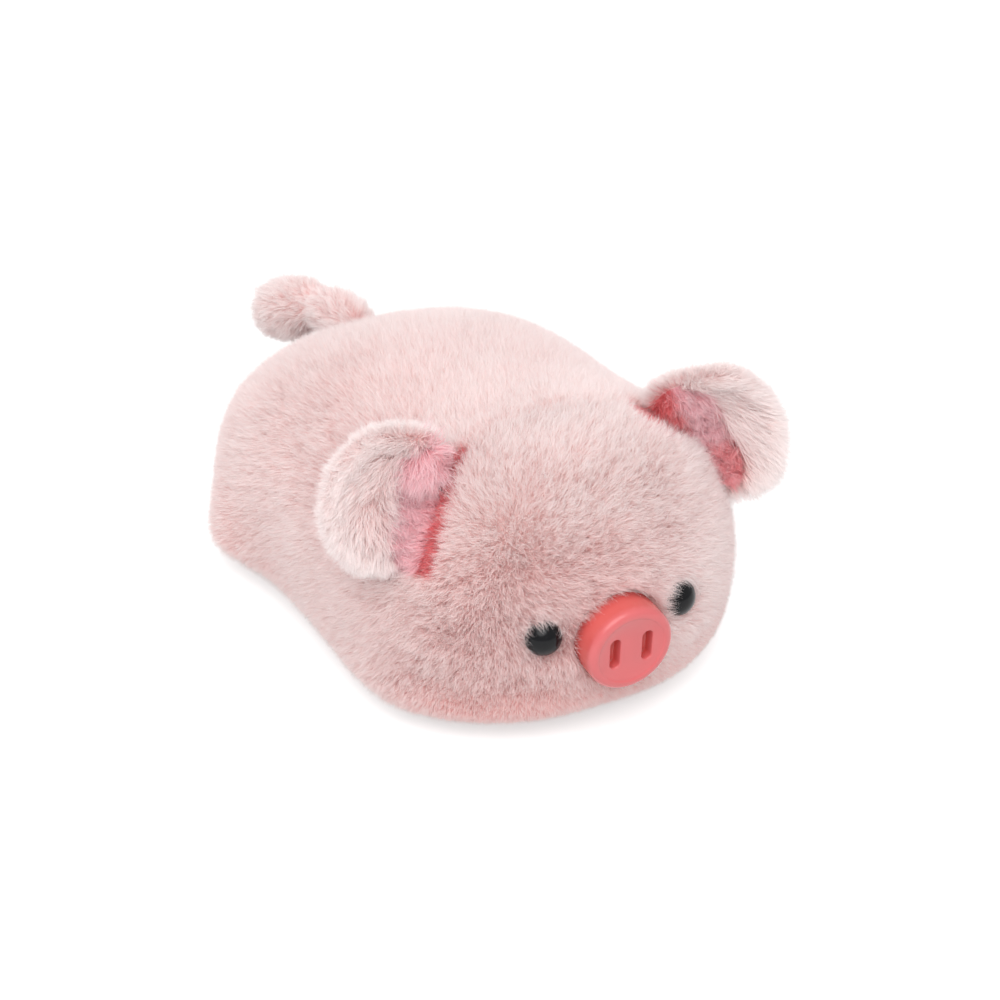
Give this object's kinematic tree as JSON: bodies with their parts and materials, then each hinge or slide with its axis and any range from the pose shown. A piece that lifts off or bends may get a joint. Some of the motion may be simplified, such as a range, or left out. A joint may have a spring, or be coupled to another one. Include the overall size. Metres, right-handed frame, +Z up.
{
  "type": "plush pig",
  "caption": "Stuffed pile-fabric pig lying on its belly, with cupped ears and a bent tail that flop at their seams, and a hard snout and bead eyes held by lock washers.",
  "frame": {"origin": "under the middle of the toy's overall box, on the plane that the flat of the belly rests on", "axes": "+Z up, -Y forward along the way the snout points, +X towards the pig's own left side"},
  "size_m": [0.1532, 0.2487, 0.1069],
  "materials": {
    "pile_fabric": "long brushed pile",
    "ear_lining_fabric": "short curled pile",
    "snout_plastic": "satin",
    "bead_plastic": "polished",
    "washer_plastic": "plain",
    "filling_fibre": "loose fibre"
  },
  "bodies": {
    "pig_body": {"belly_panel": "pile_fabric", "body_panel_left": "pile_fabric", "body_panel_right": "pile_fabric", "brow_panel": "pile_fabric", "cheek_panel_left": "pile_fabric", "cheek_panel_right": "pile_fabric", "body_stuffing": "filling_fibre", "head_stuffing": "filling_fibre", "eye_left": "bead_plastic", "eye_right": "bead_plastic", "eye_washer_left": "washer_plastic", "eye_washer_right": "washer_plastic", "snout": "snout_plastic", "snout_washer": "washer_plastic"},
    "left_ear": {"ear_outer_left": "pile_fabric", "ear_lining_left": "ear_lining_fabric"},
    "right_ear": {"ear_outer_right": "pile_fabric", "ear_lining_right": "ear_lining_fabric"},
    "tail": {"tail_cover": "pile_fabric", "tail_stuffing": "filling_fibre"}
  },
  "joints": [
    {"name": "left_ear_flop", "type": "hinge", "parent": "pig_body", "child": "left_ear", "pos_m": [0.04577, -0.07201, 0.07871], "axis": [0.6402, -0.2879, -0.7122], "range_deg": [-25, 35], "stiffness_Nm_per_rad": 0.002},
    {"name": "right_ear_flop", "type": "hinge", "parent": "pig_body", "child": "right_ear", "pos_m": [-0.04615, -0.07073, 0.07867], "axis": [0.6818, 0.148, 0.7164], "range_deg": [-25, 35], "stiffness_Nm_per_rad": 0.002},
    {"name": "tail_wag", "type": "hinge", "parent": "pig_body", "child": "tail", "pos_m": [-0.001, 0.0784, 0.0563], "axis": [0, 0.6112, 0.7915], "range_deg": [-30, 30], "stiffness_Nm_per_rad": 0.004}
  ]
}
